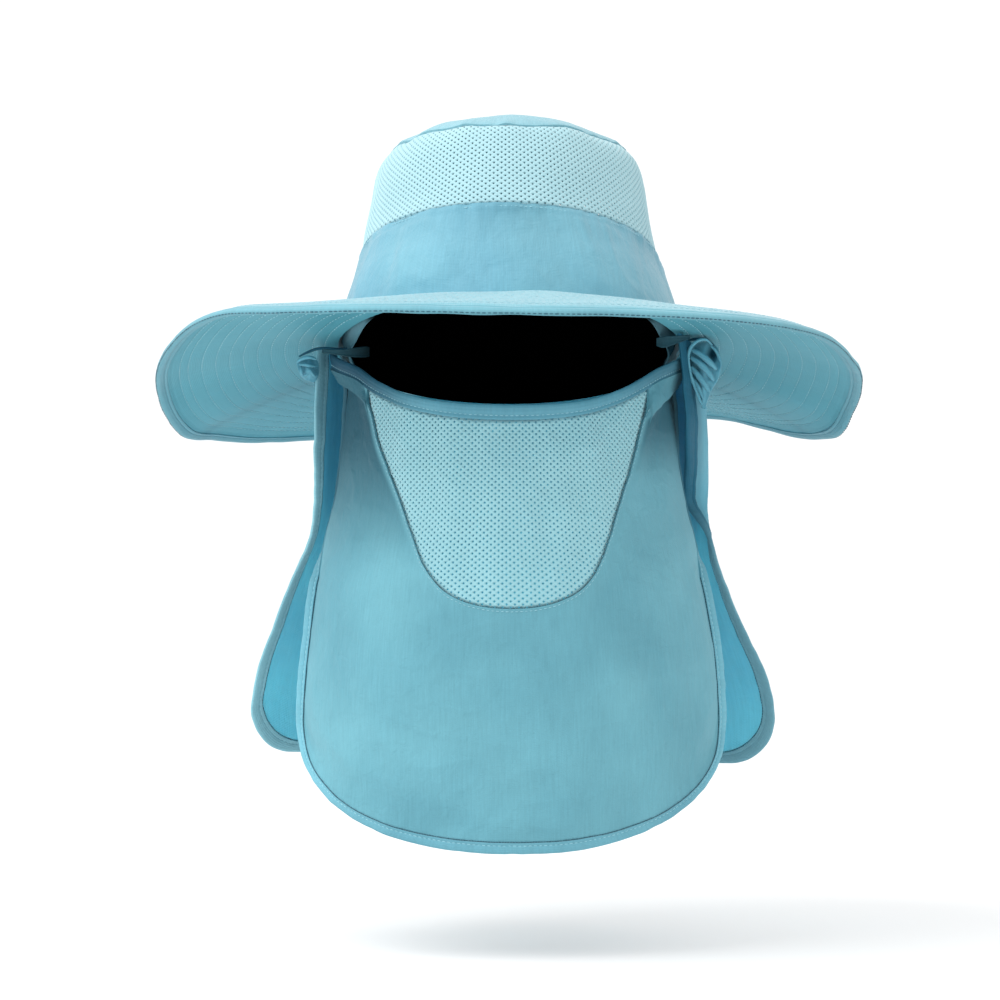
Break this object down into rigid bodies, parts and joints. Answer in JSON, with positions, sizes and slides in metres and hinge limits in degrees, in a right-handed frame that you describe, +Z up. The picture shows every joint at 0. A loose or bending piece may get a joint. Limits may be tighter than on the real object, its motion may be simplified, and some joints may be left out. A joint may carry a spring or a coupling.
{
  "type": "bucket hat with neck flap",
  "caption": "Wide-brimmed sun hat with a mesh-topped crown, a neck flap behind and a face flap with a mesh breathing window, all edged with tape.",
  "frame": {"origin": "centre of the head opening, where the crown meets the brim", "axes": "+Z up as worn, the hat's front towards -Y, its wearer's left towards +X"},
  "size_m": [0.3732, 0.3778, 0.3821],
  "materials": {
    "nylon_cloth": "light blue plain-woven nylon, softly sheened",
    "mesh_cloth": "pale blue knitted mesh with round holes",
    "binding_tape": "folded woven edging tape",
    "black_lining": "matt black lining cloth"
  },
  "bodies": {
    "root": {"crown_tip": "nylon_cloth", "crown_mesh": "mesh_cloth", "crown_band": "nylon_cloth", "crown_lining": "black_lining", "tab_left": "binding_tape", "tab_right": "binding_tape", "brim": "nylon_cloth", "brim_binding": "binding_tape", "neck_flap": "nylon_cloth", "flap_roll_left": "nylon_cloth", "flap_roll_right": "nylon_cloth", "neck_flap_binding": "binding_tape", "face_flap": "nylon_cloth", "face_flap_mesh": "mesh_cloth", "face_flap_binding": "binding_tape", "face_flap_top_binding": "binding_tape"}
  },
  "joints": []
}
